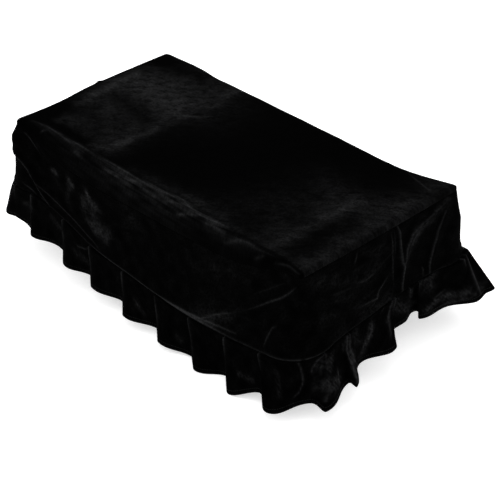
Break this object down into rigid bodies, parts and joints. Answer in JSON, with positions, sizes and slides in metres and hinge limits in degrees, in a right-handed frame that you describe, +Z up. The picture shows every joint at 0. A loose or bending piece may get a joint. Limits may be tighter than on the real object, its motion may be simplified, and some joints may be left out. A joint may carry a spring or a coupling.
{
  "type": "stool cover",
  "caption": "Fitted velvet cover for a long padded stool, with a flat top, a draped side band and a pleated flounce that flares at the hem.",
  "frame": {"origin": "middle of the underside of the top panel, where it lies on the stool's seat", "axes": "+X along the long side, +Z up, and -Y towards the long side over which the slack of the top hangs"},
  "size_m": [0.8647, 0.498, 0.2696],
  "materials": {
    "velvet_panel": "black velvet, brushed nap",
    "velvet_band": "black velvet, brushed nap",
    "velvet_flounce": "black velvet with a stitched hem"
  },
  "bodies": {
    "root": {"top_panel": "velvet_panel", "side_band": "velvet_band", "flounce": "velvet_flounce"}
  },
  "joints": []
}
